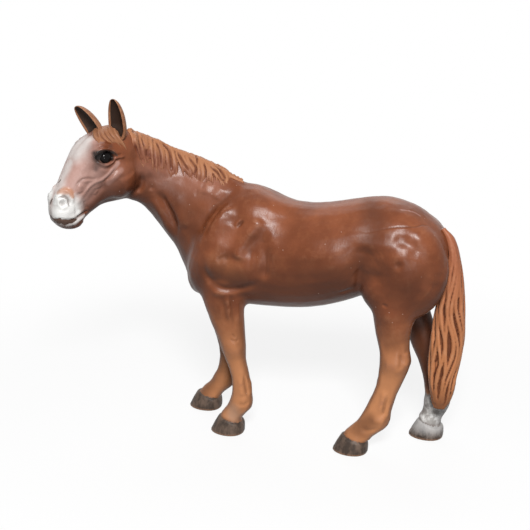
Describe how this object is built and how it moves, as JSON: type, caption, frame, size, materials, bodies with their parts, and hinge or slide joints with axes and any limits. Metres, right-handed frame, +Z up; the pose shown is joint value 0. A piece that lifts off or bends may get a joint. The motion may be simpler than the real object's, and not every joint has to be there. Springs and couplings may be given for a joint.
{
  "type": "toy farm animal figure",
  "caption": "Standing toy farm horse in chestnut moulded plastic, head turned to its left, with a white blaze and a white hind sock.",
  "frame": {"origin": "centre of the bounding box's bottom, on the plane of the soles", "axes": "+Z up, -X towards the head and +X towards the tail, +Y towards the horse's right side"},
  "size_m": [0.1268, 0.0464, 0.1115],
  "materials": {
    "chestnut_plastic": "satin painted vinyl",
    "face_plastic": "satin painted vinyl with a white blaze",
    "tan_plastic": "satin painted vinyl",
    "hair_plastic": "satin painted vinyl with a dark wash in its grooves",
    "hoof_plastic": "dull painted vinyl, scuffed",
    "eye_gloss": "glossy black paint"
  },
  "bodies": {
    "root": {"trunk": "chestnut_plastic", "neck": "chestnut_plastic", "head": "face_plastic", "left_ear": "hair_plastic", "right_ear": "hair_plastic", "left_eye": "eye_gloss", "right_eye": "eye_gloss", "mane": "hair_plastic", "forelock": "hair_plastic", "tail": "hair_plastic", "left_foreleg": "tan_plastic", "right_foreleg": "tan_plastic", "left_hindleg": "tan_plastic", "right_hindleg": "tan_plastic", "left_fore_hoof": "hoof_plastic", "right_fore_hoof": "hoof_plastic", "left_hind_hoof": "hoof_plastic", "right_hind_hoof": "hoof_plastic"}
  },
  "joints": []
}
